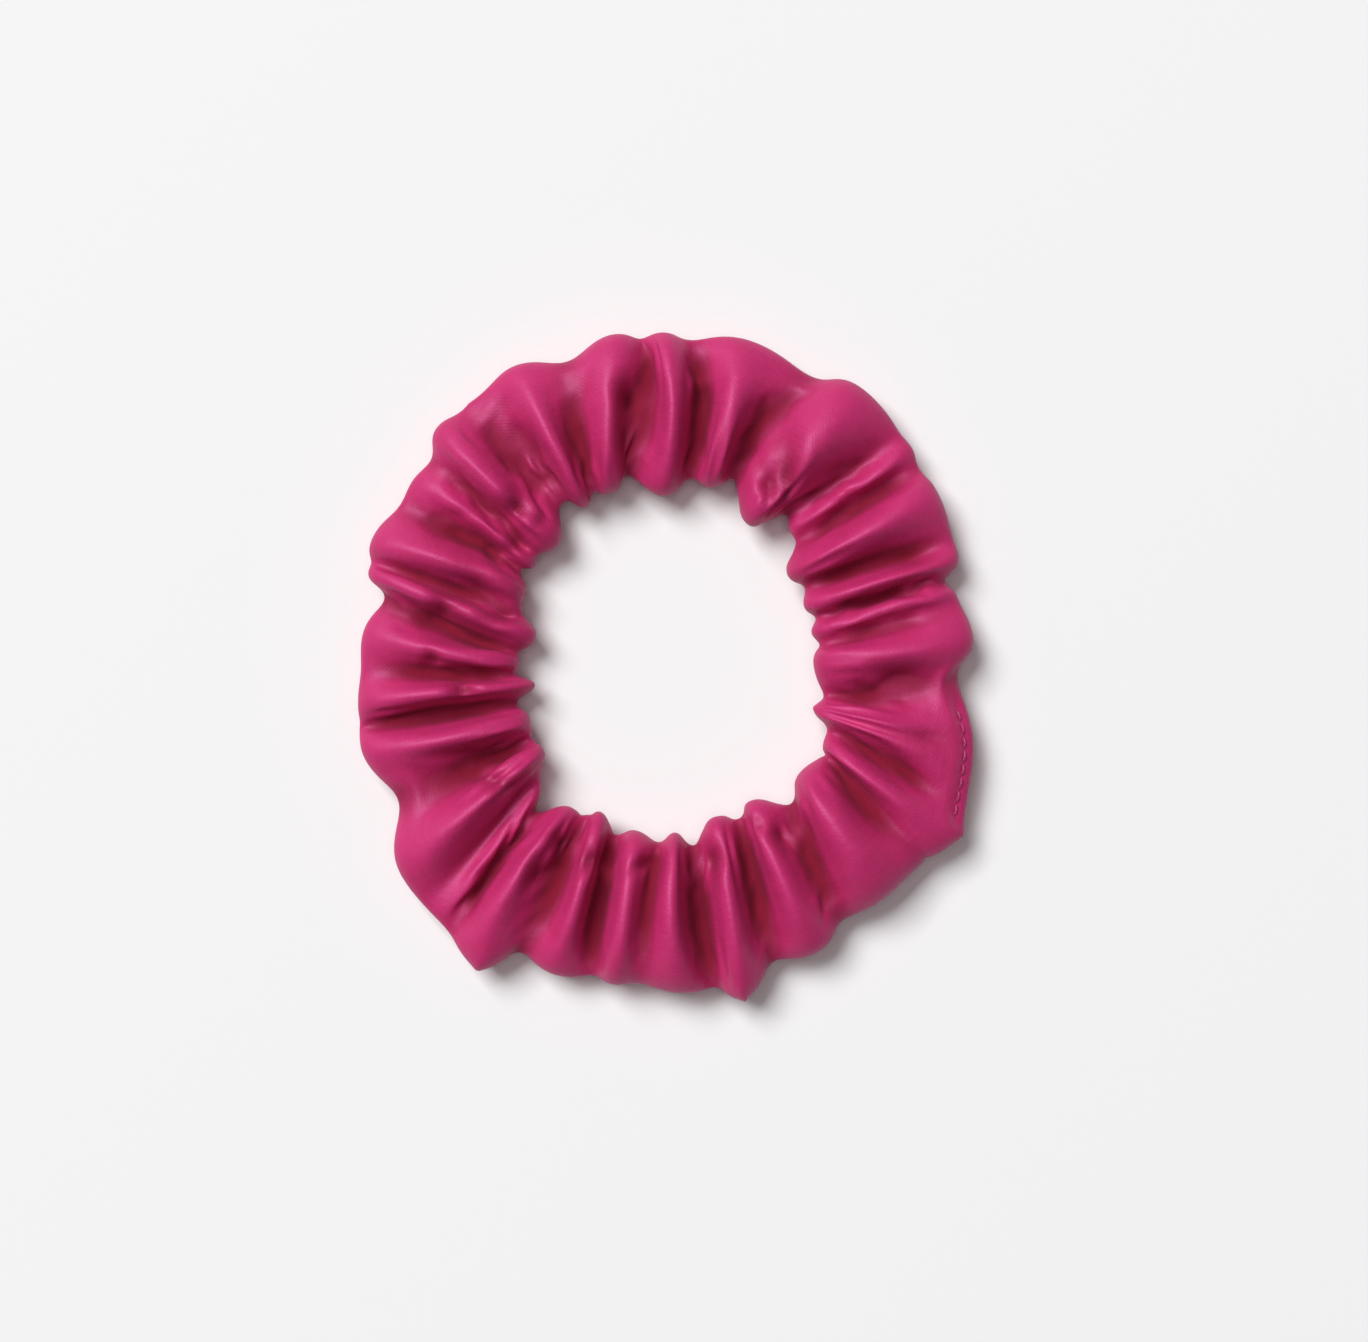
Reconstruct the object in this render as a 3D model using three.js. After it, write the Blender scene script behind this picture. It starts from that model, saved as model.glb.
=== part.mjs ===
// A gathered hair scrunchie: a satin sleeve ruched on a loop of flat elastic, lying on its flat underside.
// Millimetres, +Z up. The origin is the centre of the outline, at the height of the surface it lies on.
// The loop is cut at X = 0 into the end with the seams and the far end, which pull apart as the elastic stretches.
import * as THREE from "three";
import { mergeVertices } from "three/addons/utils/BufferGeometryUtils.js";

// The space left between neighbouring pieces.
const GAP = 0.3;

// Places round the loop are shares of a turn from +X. The two cuts at X = 0:
const TOP = 0.25;
const BOTTOM = -0.25;

// Loop: distance of the sleeve's middle line from the loop's centre, at eight equal steps round from +X.
const MIDLINE_RADII = [35.5, 38.5, 38.2, 36.8, 34.8, 39.2, 38.5, 39.7];

// Sleeve: a D-shaped section, flat underneath, pinched at every gather.
const SLEEVE_HALF_WIDTH = 12.4;
const SLEEVE_HALF_HEIGHT = 8.6;
const SECTION_CENTRE_HEIGHT = 5.9;
const GATHERS = 22;
const PINCH_WIDTH = 1.5;
const PINCH_HEIGHT = 1.8;
const BORE_HALF_WIDTH = 9.7;
const BORE_HALF_HEIGHT = 4.8;
const BORE_SQUARENESS = 3;

// Elastic: a 4.5 mm braid lying flat, a little inside the middle line, its two ends lapped.
const ELASTIC_WIDTH = 4.5;
const ELASTIC_THICKNESS = 1.2;
const ELASTIC_OUT = -1.5;
const LAP_FROM = -0.062;
const LAP_TO = -0.012;
const LAP_STEP = ELASTIC_THICKNESS + GAP;
const TACK_FROM = -0.053;
const TACK_TO = -0.019;

// Sewing thread and its stitches.
const THREAD_DIAMETER = 0.5;
const STITCH_WAVE = 0.25;
const STITCH_TURN_SHARE = 1 / 52;
const BORE_CLEARANCE = 0.8;
const CLOSING_FROM = -0.08;
const CLOSING_TO = -0.014;
const CLOSING_SECTION_ANGLE = (30 * Math.PI) / 180;
const THREAD_LIFT = 0.9;
const CROSS_SEAM_AT = -0.1;
const JOIN_ZIGZAGS = 5;

// Facets.
const STEPS_PER_GATHER = 4;
const SECTION_POINTS = 16;
const THREAD_ARC_STEPS = 3;
const STEPS_PER_STITCH = 5;
const WELD = 1e-3;

const midline = new THREE.CatmullRomCurve3(
  MIDLINE_RADII.map((radius, i) => {
    const angle = (2 * Math.PI * i) / MIDLINE_RADII.length;
    return new THREE.Vector3(radius * Math.cos(angle), radius * Math.sin(angle), 0);
  }),
  true,
);

// The point that lies `out` from the middle line, away from the loop's centre, and `up` from the ground.
function pointAt(turn, out, up) {
  const share = ((turn % 1) + 1) % 1;
  const along = midline.getTangent(share);
  return midline.getPoint(share).add(new THREE.Vector3(along.y * out, -along.x * out, up));
}

// How open the sleeve is: 0 in the crease between two gathers, 1 on the crest.
function crest(turn) {
  return Math.abs(Math.cos(Math.PI * GATHERS * turn));
}

// Where the sleeve's outside is at an angle round its section, as distances out and up.
function sleevePlace(turn, angle, lift = 0) {
  const halfWidth = SLEEVE_HALF_WIDTH - PINCH_WIDTH * (1 - crest(turn)) + lift;
  const halfHeight = SLEEVE_HALF_HEIGHT - PINCH_HEIGHT * (1 - crest(turn)) + lift;
  const up = SECTION_CENTRE_HEIGHT + halfHeight * Math.sin(angle);
  return [halfWidth * Math.cos(angle), Math.max(0, up)];
}

function sleeveSection(turn) {
  return sectionRing((angle) => pointAt(turn, ...sleevePlace(turn, angle)));
}

function boreSection(turn, shrink = 0) {
  const squared = (value) => Math.sign(value) * Math.abs(value) ** (2 / BORE_SQUARENESS);
  return sectionRing((angle) => {
    const out = (BORE_HALF_WIDTH - shrink) * squared(Math.cos(angle));
    const up = SECTION_CENTRE_HEIGHT + (BORE_HALF_HEIGHT - shrink) * squared(Math.sin(angle));
    return pointAt(turn, out, up);
  });
}

function sectionRing(pointOf) {
  return Array.from({ length: SECTION_POINTS }, (_, i) => pointOf((2 * Math.PI * i) / SECTION_POINTS));
}

// Joins rings of equal size into a surface that closes on itself both ways.
function loftClosed(rings) {
  const count = rings[0].length;
  const positions = rings.flat().flatMap((point) => point.toArray());
  const triangles = [];
  rings.forEach((_, i) => {
    const next = (i + 1) % rings.length;
    for (let j = 0; j < count; j++) {
      const k = (j + 1) % count;
      triangles.push(i * count + j, i * count + k, next * count + k);
      triangles.push(i * count + j, next * count + k, next * count + j);
    }
  });
  const geometry = new THREE.BufferGeometry();
  geometry.setAttribute("position", new THREE.Float32BufferAttribute(positions, 3));
  return geometry.setIndex(triangles);
}

// Half the sleeve: back along its outside, round the cut edge, and forward along its bore.
function sleeveHalf(fromTurn) {
  const steps = (GATHERS * STEPS_PER_GATHER) / 2;
  const turns = Array.from({ length: steps + 1 }, (_, i) => fromTurn + i / (2 * steps));
  const outside = turns.map((turn) => sleeveSection(turn)).reverse();
  const bore = turns.map((turn) => boreSection(turn));
  return loftClosed([...outside, ...bore]);
}

// A line round the loop, from one share of a turn to another, at a place in the section that may vary.
class LoopLine extends THREE.Curve {
  constructor(fromTurn, toTurn, placeOf) {
    super();
    Object.assign(this, { fromTurn, toTurn, placeOf });
  }

  getPoint(share) {
    const turn = this.fromTurn + (this.toTurn - this.fromTurn) * share;
    return pointAt(turn, ...this.placeOf(turn, share));
  }
}

function elasticStrip(fromTurn, toTurn, up) {
  const shape = new THREE.Shape();
  const w = ELASTIC_WIDTH / 2;
  const t = ELASTIC_THICKNESS / 2;
  shape.moveTo(-t, -w).lineTo(t, -w).lineTo(t, w).lineTo(-t, w);
  const steps = Math.round((toTurn - fromTurn) * GATHERS * STEPS_PER_GATHER);
  const extrudePath = new LoopLine(fromTurn, toTurn, () => [ELASTIC_OUT, up]);
  return new THREE.ExtrudeGeometry(shape, { steps, extrudePath });
}

function threadAlong(extrudePath, steps) {
  const shape = new THREE.Shape();
  shape.absarc(0, 0, THREAD_DIAMETER / 2, 0, 2 * Math.PI);
  return new THREE.ExtrudeGeometry(shape, { steps, extrudePath, curveSegments: THREAD_ARC_STEPS });
}

// A running seam: the thread rises and dips once in every stitch. placeOf takes the turn and the rise.
function seamThread(fromTurn, toTurn, placeOf) {
  const stitches = Math.round((toTurn - fromTurn) / STITCH_TURN_SHARE);
  const wave = (share) => STITCH_WAVE * Math.cos(2 * Math.PI * stitches * share);
  const line = new LoopLine(fromTurn, toTurn, (turn, share) => placeOf(turn, wave(share)));
  return threadAlong(line, stitches * STEPS_PER_STITCH);
}

// The seam along the sleeve, inside it on its outer side.
function longSeamPlace(turn, rise) {
  return [BORE_HALF_WIDTH - BORE_CLEARANCE, SECTION_CENTRE_HEIGHT + rise];
}

// The topstitch that closes the sleeve, on its outside near the outer edge.
function closingPlace(turn, rise) {
  return sleevePlace(turn, CLOSING_SECTION_ANGLE, THREAD_LIFT + rise);
}

// The ring of stitches inside the sleeve that joins the two ends of the strip.
function crossSeamThread() {
  const line = new THREE.CatmullRomCurve3(boreSection(CROSS_SEAM_AT, BORE_CLEARANCE).slice(1));
  return threadAlong(line, SECTION_POINTS * 2);
}

// A zigzag that tacks the lapped ends of the elastic together, on top of the upper one.
function elasticJoinThread() {
  const up = SECTION_CENTRE_HEIGHT + LAP_STEP + (ELASTIC_THICKNESS + THREAD_DIAMETER) / 2 + GAP;
  const reach = ELASTIC_WIDTH / 2 - THREAD_DIAMETER;
  const corners = Array.from({ length: 2 * JOIN_ZIGZAGS + 1 }, (_, i) => {
    const turn = TACK_FROM + ((TACK_TO - TACK_FROM) * i) / (2 * JOIN_ZIGZAGS);
    return pointAt(turn, ELASTIC_OUT + (i % 2 ? reach : -reach), up);
  });
  return threadAlong(new THREE.CatmullRomCurve3(corners), corners.length * STEPS_PER_STITCH);
}

const satin = new THREE.MeshStandardMaterial({ color: 0xb8326f, roughness: 0.38, metalness: 0 });
const braid = new THREE.MeshStandardMaterial({ color: 0xe9e4df, roughness: 0.8, metalness: 0 });
const thread = new THREE.MeshStandardMaterial({ color: 0xa82c63, roughness: 0.6, metalness: 0 });

const scrunchie = new THREE.Group();
const loop = new THREE.Group();
scrunchie.add(loop);

// Adds a piece to the end with the seams (side 1) or to the far end (side -1).
function add(name, geometry, material, side) {
  geometry.deleteAttribute("normal");
  geometry.deleteAttribute("uv");
  const mesh = new THREE.Mesh(mergeVertices(geometry, WELD), material);
  mesh.geometry.computeVertexNormals();
  mesh.name = name;
  mesh.position.x = (side * GAP) / 2;
  loop.add(mesh);
}

add("sleeve_seam_end", sleeveHalf(BOTTOM), satin, 1);
add("sleeve_far_end", sleeveHalf(TOP), satin, -1);
add("elastic_lower_end", elasticStrip(BOTTOM, LAP_TO, SECTION_CENTRE_HEIGHT), braid, 1);
add("elastic_upper_end", elasticStrip(LAP_FROM, TOP, SECTION_CENTRE_HEIGHT + LAP_STEP), braid, 1);
add("elastic_far_end", elasticStrip(TOP, TOP + 0.5, SECTION_CENTRE_HEIGHT), braid, -1);
add("elastic_join_stitches", elasticJoinThread(), thread, 1);
add("long_seam_stitches_lower", seamThread(BOTTOM, CLOSING_FROM, longSeamPlace), thread, 1);
add("long_seam_stitches_upper", seamThread(CLOSING_TO, TOP, longSeamPlace), thread, 1);
add("long_seam_stitches_far", seamThread(TOP, TOP + 0.5, longSeamPlace), thread, -1);
add("cross_seam_stitches", crossSeamThread(), thread, 1);
add("closing_topstitch", seamThread(CLOSING_FROM, CLOSING_TO, closingPlace), thread, 1);

// Puts the origin at the centre of the outline.
const centre = new THREE.Box3().setFromObject(loop, true).getCenter(new THREE.Vector3());
loop.position.set(-centre.x, -centre.y, 0);

export default scrunchie;
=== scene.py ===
"""A satin scrunchie lying on a pale floor, seen from straight above.

The sleeve is one gathered tube of cloth. It starts from a list of its folds, and a cloth simulation with the
flat tube's own lengths then lets it bulge and crease.
"""

import math

import bpy
import numpy as np
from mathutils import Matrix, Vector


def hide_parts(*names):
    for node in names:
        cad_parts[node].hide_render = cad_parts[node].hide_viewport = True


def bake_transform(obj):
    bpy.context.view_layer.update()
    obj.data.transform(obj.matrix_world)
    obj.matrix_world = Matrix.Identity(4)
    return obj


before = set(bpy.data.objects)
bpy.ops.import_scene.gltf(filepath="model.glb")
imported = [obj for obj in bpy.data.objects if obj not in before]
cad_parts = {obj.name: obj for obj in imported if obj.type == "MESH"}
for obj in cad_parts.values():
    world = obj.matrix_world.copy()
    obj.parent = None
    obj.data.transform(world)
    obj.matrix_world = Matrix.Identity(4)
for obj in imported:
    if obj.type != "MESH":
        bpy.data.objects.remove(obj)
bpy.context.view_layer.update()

MM = 0.001

# The sleeve as cut and sewn, in mm: a tube pressed flat, gathered to the ring.
TUBE_LENGTH = 345.0
TUBE_ROUND = 54.0

# Heights in the sleeve: where the elastic runs, and where a fold stands up fully. Creases are less deep
# towards the outer edge, where there is room for the cloth.
ELASTIC_HEIGHT = 5.0
FULL_HEIGHT = 13.0
SHALLOWER_OUTSIDE = 0.2

# Valleys: the lowest as read, the height it gets, and the share of the others' differences that is kept.
VALLEY_LOWEST_READ = 3.5
VALLEY_LOWEST = 5.8
VALLEY_SHARE = 0.6

# A fold's section: the powers by which it rises from its two edges, where more is thinner, and the power
# that crowds its points towards them. SPINE is how high a full ridge's widest line lies above the elastic,
# SAG the share of the elastic's height by which a full crease's underside leaves the floor, and UNDERSIDE_BOW
# how much of a fold's bend its underside has.
WEDGE_OUTSIDE = 1.2
WEDGE_INSIDE = 0.9
EDGE_CROWDING = 0.85
SPINE = 1.0
SAG = 0.8
UNDERSIDE_BOW = 0.4
SECTION_STEPS = 400

# How much further a full crease cuts in than listed, and how much further a full ridge reaches out, in mm.
CREASE_INSIDE = 0.5
CREASE_OUTSIDE = 1.0
RIDGE_INSIDE = 1.2
RIDGE_OUTSIDE = 0.9

# How sharp creases are at the outer edge, the top and the inner edge: 2 is a smooth wave, 1 a cusp.
SHARP_OUTSIDE = 1.3
SHARP_TOP = 1.9
SHARP_INSIDE = 1.3

# The mesh of the sleeve: columns round the ring, rows round the tube, and the cloth's thickness in mm. It is
# made from finer steps from fold to fold, and refined() doubles the columns and rows in the end.
COLUMNS = 290
ROWS = 42
STEPS_PER_FOLD = 24
WALL = 0.25

# Elastic: a flat braid lying level in the sleeve. Angles in degrees from +X, anticlockwise. The sleeve
# leaves room for the lap up to LAP_MARGIN degrees past the elastic's end.
ELASTIC_RADIUS = 36.3
ELASTIC_WIDTH = 4.5
ELASTIC_THICKNESS = 1.0
ELASTIC_FROM = -22
ELASTIC_TO = 356
LAP_RISE_FROM = ELASTIC_FROM + 335
LAP_RISE_TO = ELASTIC_FROM + 352
LAP_MARGIN = 2
ELASTIC_LAP_STEP = 1.1
ELASTIC_RIBS = 5
RIB_DEPTH = 0.12
ELASTIC_ROUNDNESS = 0.4
ELASTIC_CLEARANCE = 0.5
ELASTIC_SIDE_CLEARANCE = 0.8
ELASTIC_SIDES = 40
ELASTIC_STEPS = 300

# Thread and seams. NEARLY_UP is a direction that no thread runs in, to turn its section from.
THREAD_RADIUS = 0.17
THREAD_SIDES = 6
NEARLY_UP = (0.03, 0.05, 1.0)
STITCH_LENGTH = 2.1
JOIN_ZIGZAGS = 5
JOIN_INSET = 0.7
JOIN_MARGIN = 3
POINTS_PER_ZIGZAG = 8

# The long seam: how many rows inside the outer edge it runs, and how far its thread dips.
LONG_SEAM_ROW = 4
LONG_SEAM_DIP = 0.12
POINTS_PER_STITCH = 6

# The cross seam: where it is, how deep it pulls the cloth in, how far its thread lies under that, and the
# share of that depth in the columns beside it.
CROSS_SEAM_ANGLE = 326.0
SEAM_DEPTH = 0.45
SEAM_THREAD_UNDER = 0.6
POINTS_PER_ROW = 4
SEAM_PULL = [(-2, 0.15), (-1, 0.5), (0, 1.0), (1, 0.5), (2, 0.15)]

# The topstitch: the stretch of outer edge that it closes and how far its groove fades out past the ends, in
# degrees, the share of the groove's depth from which there are stitches, and how many rows in from the edge
# they run.
CLOSING_FROM = 332.0
CLOSING_TO = 352.0
CLOSING_FADE = 3
FULLY_CLOSED = 0.9
CLOSING_ROW = 4

# One topstitch: the share of its length that each needle hole takes, and how far it bulges and starts, in mm.
STITCH_HOLE = 0.1
STITCH_LIFT = 0.35
STITCH_SUNK = 0.1
POINTS_PER_TOPSTITCH = 7

# The groove under the topstitch: rows from its middle, and depth in mm.
GROOVE = [(-2, 0.1), (-1, 0.35), (0, 0.55), (1, 0.35), (2, 0.1)]

# Folds of the sleeve, anticlockwise from +X, valley and ridge by turns. Each is a line across the band: its
# angle in degrees at the outer edge, the middle and the inner edge, then its reach from the ring's centre at
# the outer and inner edge, and its height at the top, in mm. They were read fold by fold, and some were
# corrected once the outlines had been compared. valley_height() lifts the valleys' heights, which are as
# read, except that those at 122, 128.5, 225 and 231 degrees were worked back from the height they got.
FOLDS = [
    (-1.5, -7.5, -12.5, 44.1, 25.0, 6.0),
    (4.0, 2.0, 1.0, 47.7, 23.4, 12.5),
    (11.5, 10.5, 7.0, 46.6, 24.3, 7.0),
    (14.0, 14.0, 11.5, 46.0, 23.1, 10.5),
    (16.3, 17.0, 16.5, 44.4, 24.6, 6.0),
    (19.3, 20.5, 22.0, 48.3, 23.4, 11.5),
    (23.0, 25.0, 28.5, 48.6, 24.6, 6.5),
    (32.0, 33.0, 36.0, 49.4, 23.4, 13.5),
    (38.0, 40.0, 43.0, 50.1, 27.5, 3.5),
    (41.0, 42.5, 46.5, 50.8, 27.9, 9.0),
    (44.0, 45.5, 50.5, 51.2, 30.0, 5.0),
    (55.0, 56.5, 59.5, 52.2, 24.8, 15.0),
    (62.3, 68.0, 69.5, 49.4, 30.4, 5.5),
    (77.0, 76.0, 76.0, 51.4, 28.7, 12.5),
    (85.5, 82.0, 82.5, 50.4, 28.4, 3.5),
    (91.0, 87.0, 91.0, 50.6, 26.0, 13.0),
    (94.5, 94.0, 101.5, 50.7, 30.0, 5.0),
    (99.0, 102.0, 107.0, 51.1, 28.2, 13.0),
    (108.0, 111.5, 112.5, 48.0, 28.5, 6.5),
    (117.0, 117.0, 117.5, 51.5, 27.6, 12.5),
    (122.0, 122.5, 121.0, 50.9, 29.4, 5.0),
    (125.0, 124.3, 122.3, 50.2, 28.8, 7.4),
    (128.5, 126.3, 123.6, 49.8, 29.2, 4.0),
    (134.5, 134.0, 132.0, 50.5, 24.8, 12.5),
    (138.8, 139.5, 140.5, 47.2, 26.0, 6.5),
    (143.5, 142.5, 143.5, 48.4, 25.4, 10.0),
    (149.0, 147.0, 147.0, 47.9, 26.2, 3.5),
    (158.0, 155.0, 153.0, 48.9, 24.9, 13.0),
    (161.0, 160.5, 161.0, 48.4, 23.6, 8.5),
    (162.8, 165.0, 168.0, 48.2, 19.8, 12.5),
    (166.5, 171.5, 176.5, 43.7, 22.6, 5.0),
    (174.0, 177.0, 180.0, 47.4, 22.8, 11.5),
    (181.5, 183.0, 184.0, 47.0, 23.3, 6.5),
    (187.5, 187.5, 190.0, 47.9, 19.8, 12.0),
    (192.0, 192.5, 194.5, 49.2, 23.6, 3.5),
    (196.0, 199.0, 202.0, 48.9, 23.0, 12.5),
    (207.5, 208.5, 210.0, 45.5, 23.2, 4.0),
    (218.0, 217.0, 215.0, 52.8, 22.8, 14.0),
    (225.0, 225.0, 222.5, 53.8, 25.6, 6.0),
    (228.0, 227.5, 225.0, 53.6, 26.4, 8.4),
    (231.0, 229.8, 228.5, 53.8, 31.2, 4.5),
    (238.6, 234.5, 236.5, 54.9, 26.7, 13.0),
    (243.0, 244.5, 242.0, 49.2, 26.4, 5.5),
    (249.5, 250.0, 246.5, 51.1, 25.4, 12.5),
    (257.0, 254.5, 254.0, 50.1, 27.3, 3.5),
    (261.0, 260.5, 260.0, 49.6, 26.9, 14.0),
    (265.0, 265.5, 268.0, 48.9, 28.4, 10.5),
    (273.0, 271.0, 273.5, 50.6, 26.8, 14.5),
    (279.0, 277.5, 278.5, 51.3, 28.6, 3.5),
    (283.3, 285.0, 288.0, 52.8, 24.9, 13.5),
    (290.0, 292.0, 295.5, 49.0, 26.4, 4.0),
    (297.5, 298.0, 302.0, 50.3, 25.4, 13.0),
    (304.5, 306.5, 311.5, 48.2, 29.6, 6.0),
    (314.0, 315.0, 321.0, 49.0, 27.5, 15.0),
    (322.0, 326.0, 330.0, 49.8, 28.5, 9.5),
    (328.0, 330.0, 333.0, 52.0, 28.0, 12.5),
    (332.0, 335.5, 338.0, 52.2, 27.0, 8.0),
    (342.0, 343.5, 343.0, 50.2, 24.2, 12.0),
]

# Pockets where a gather doubles back and leaves a small dark hollow in the top: place (angle in degrees and
# radius), the direction it runs in, its half length and half width, and its depth, in mm, as read. They are
# pressed POCKET_WIDENING times as wide as read.
POCKETS = [
    (59.4, 31.4, 88, 2.3, 0.8, 4.5),
    (56.9, 34.0, 88, 4.0, 0.9, 3.5),
    (98.2, 40.6, 85, 2.5, 0.9, 4.0),
    (100.5, 34.6, 86, 4.0, 0.7, 3.0),
    (133.4, 32.5, 151, 1.8, 1.0, 3.5),
    (130.9, 28.7, 150, 0.9, 0.6, 2.0),
    (140.8, 28.8, 150, 1.2, 0.7, 2.5),
    (166.4, 34.8, 35, 2.2, 1.3, 2.5),
    (157.7, 30.8, 150, 3.0, 1.2, 2.0),
    (163.9, 25.6, 172, 2.4, 0.6, 3.0),
    (179.0, 35.4, 170, 1.0, 0.6, 2.0),
    (187.6, 31.0, 175, 1.5, 0.7, 3.0),
    (204.5, 32.5, 5, 5.0, 0.8, 2.0),
    (215.0, 31.5, 345, 4.0, 0.8, 2.0),
    (238.7, 37.7, 55, 2.2, 0.8, 2.5),
    (239.5, 31.9, 75, 1.5, 0.6, 3.0),
    (249.1, 32.3, 60, 1.6, 0.9, 3.0),
    (265.0, 30.7, 15, 1.8, 0.8, 3.0),
    (283.6, 31.1, 85, 2.4, 0.8, 4.0),
    (300.0, 28.4, 100, 1.0, 0.6, 2.0),
    (303.8, 31.8, 115, 2.0, 0.8, 2.5),
    (324.3, 36.0, 310, 6.0, 1.2, 1.5),
    (336.0, 40.4, 325, 5.0, 0.7, 1.2),
    (344.1, 41.6, 350, 4.0, 0.8, 1.5),
    (356.5, 36.2, 345, 3.0, 1.3, 2.5),
    (22.9, 40.9, 10, 3.5, 0.8, 2.0),
]

# Corners of the outline where a fold is pressed to a point: angle in degrees, how far it reaches past the
# fold and how wide it is, in degrees.
CORNERS = [
    (127.0, 0.7, 4.0),
    (238.6, 1.5, 2.5),
    (283.3, 1.2, 1.5),
    (330.0, 1.5, 2.5),
]


# ---------------------------------------------------------------- sleeve: its folds


def fold_line(fold):
    """One fold's loop round the tube, from the outer edge over the top to the inner edge and back below:
    angle, radius and height at each row. The outer edge is pressed sharp, the inner edge is round."""
    outer, middle, inner, reach, inner_reach, top = fold
    pinch = max(0.0, (FULL_HEIGHT - top) / (FULL_HEIGHT - ELASTIC_HEIGHT))
    reach += RIDGE_OUTSIDE * (1 - pinch) - CREASE_OUTSIDE * pinch
    inner_reach += CREASE_INSIDE * pinch - RIDGE_INSIDE * (1 - pinch)
    turn = np.linspace(0, 2 * math.pi, SECTION_STEPS + 1)
    across = np.sign(np.cos(turn)) * np.abs(np.cos(turn)) ** EDGE_CROWDING
    over = np.sin(turn) >= 0
    rise = np.abs(np.sin(turn)) ** np.where(across > 0, WEDGE_OUTSIDE, WEDGE_INSIDE)
    low = ELASTIC_HEIGHT * SAG * pinch
    waist = ELASTIC_HEIGHT + SPINE * (1 - pinch)
    crown = top + SHALLOWER_OUTSIDE * pinch * (FULL_HEIGHT - top) * np.clip(across, 0, 1)
    z = np.where(over, waist + (crown - waist) * rise, waist - (waist - low) * rise)
    r = (reach + inner_reach) / 2 + (reach - inner_reach) / 2 * across
    straight = (outer + inner) / 2 + (outer - inner) / 2 * across
    bow = (middle - (outer + inner) / 2) * (1 - across**2)
    angle = np.radians(straight + np.where(over, bow, UNDERSIDE_BOW * bow))
    x = r * np.cos(angle)
    y = r * np.sin(angle)
    step = np.hypot(np.hypot(np.diff(x), np.diff(y)), np.diff(z))
    length = np.concatenate([[0], np.cumsum(step)])
    half = ROWS // 2
    inner_edge = length[SECTION_STEPS // 2]
    upper = np.linspace(0, inner_edge, half + 1)[:-1]
    lower = np.linspace(inner_edge, length[-1], half + 1)[:-1]
    at = np.concatenate([upper, lower])
    return np.stack([np.interp(at, length, value) for value in (angle, r, z)], axis=1)


def valley_height(read):
    """How high a valley lies in the cloth: the deepest as read are lifted the most."""
    return VALLEY_LOWEST + VALLEY_SHARE * (read - VALLEY_LOWEST_READ)


def sleeve_lines():
    """The loops along all the folds."""
    lines = []
    for number, (*place, height) in enumerate(FOLDS):
        is_valley = number % 2 == 0
        lines.append(fold_line((*place, valley_height(height) if is_valley else height)))
    return lines


def crease_sharpness():
    """How sharp the creases are at each row: 2 is a smooth wave, 1 a cusp between round ridges."""
    row = np.arange(ROWS) / ROWS
    edge = np.cos(2 * math.pi * row)
    outside, inside = np.clip(edge, 0, 1) ** 2, np.clip(-edge, 0, 1) ** 2
    return SHARP_TOP + (SHARP_OUTSIDE - SHARP_TOP) * outside + (SHARP_INSIDE - SHARP_TOP) * inside


def between_folds(lines, place):
    """The loop at a place along the folds, where 3.25 is a quarter of the way from fold 3 to fold 4."""
    count = len(lines)
    index = int(math.floor(place)) % count
    share = place - math.floor(place)
    here, there = lines[index], lines[(index + 1) % count].copy()
    if index == count - 1:
        there[:, 0] += 2 * math.pi
    if index % 2 == 0:
        level = math.sin(share * math.pi / 2) ** crease_sharpness()
    else:
        level = 1 - math.cos(share * math.pi / 2) ** crease_sharpness()
    loop = here + (there - here) * level[:, None]
    loop[:, 0] = here[:, 0] + (there[:, 0] - here[:, 0]) * share
    return loop


def to_xyz(loop):
    """A loop of angles, radii and heights as points."""
    return np.stack([loop[:, 1] * np.cos(loop[:, 0]), loop[:, 1] * np.sin(loop[:, 0]), loop[:, 2]], axis=1)


def sleeve_start():
    """The designed surface, columns by rows by xyz, with columns at equal lengths of cloth."""
    lines = sleeve_lines()
    places = np.linspace(0, len(lines), len(lines) * STEPS_PER_FOLD + 1)
    fine = np.array([to_xyz(between_folds(lines, place)) for place in places])
    steps = np.linalg.norm(np.diff(fine, axis=0), axis=2).mean(axis=1)
    length = np.concatenate([[0], np.cumsum(steps)])
    wanted = np.linspace(0, length[-1], COLUMNS + 1)[:-1]
    return np.array([to_xyz(between_folds(lines, p)) for p in np.interp(wanted, length, places)])


def placed(name, data):
    """A new object of this data, in the scene."""
    obj = bpy.data.objects.new(name, data)
    bpy.context.scene.collection.objects.link(obj)
    return obj


def smooth_object(name, mesh):
    """A mesh as a smooth shaded object."""
    mesh.update()
    for polygon in mesh.polygons:
        polygon.use_smooth = True
    return placed(name, mesh)


def square(name, half):
    """A level square at height 0, from -half to half."""
    mesh = bpy.data.meshes.new(name)
    corners = [(-half, -half, 0), (half, -half, 0), (half, half, 0), (-half, half, 0)]
    mesh.from_pydata(corners, [], [(0, 1, 2, 3)])
    return placed(name, mesh)


def grid_mesh(name, grid):
    """A mesh that closes on itself both ways, from a grid of points in mm."""
    columns, rows = grid.shape[:2]
    faces = []
    for i in range(columns):
        for j in range(rows):
            k, m = (i + 1) % columns, (j + 1) % rows
            faces.append((i * rows + j, k * rows + j, k * rows + m, i * rows + m))
    mesh = bpy.data.meshes.new(name)
    mesh.from_pydata((grid.reshape(-1, 3) * MM).tolist(), [], faces)
    add_cloth_uv(mesh, columns, rows)
    return smooth_object(name, mesh)


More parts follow.
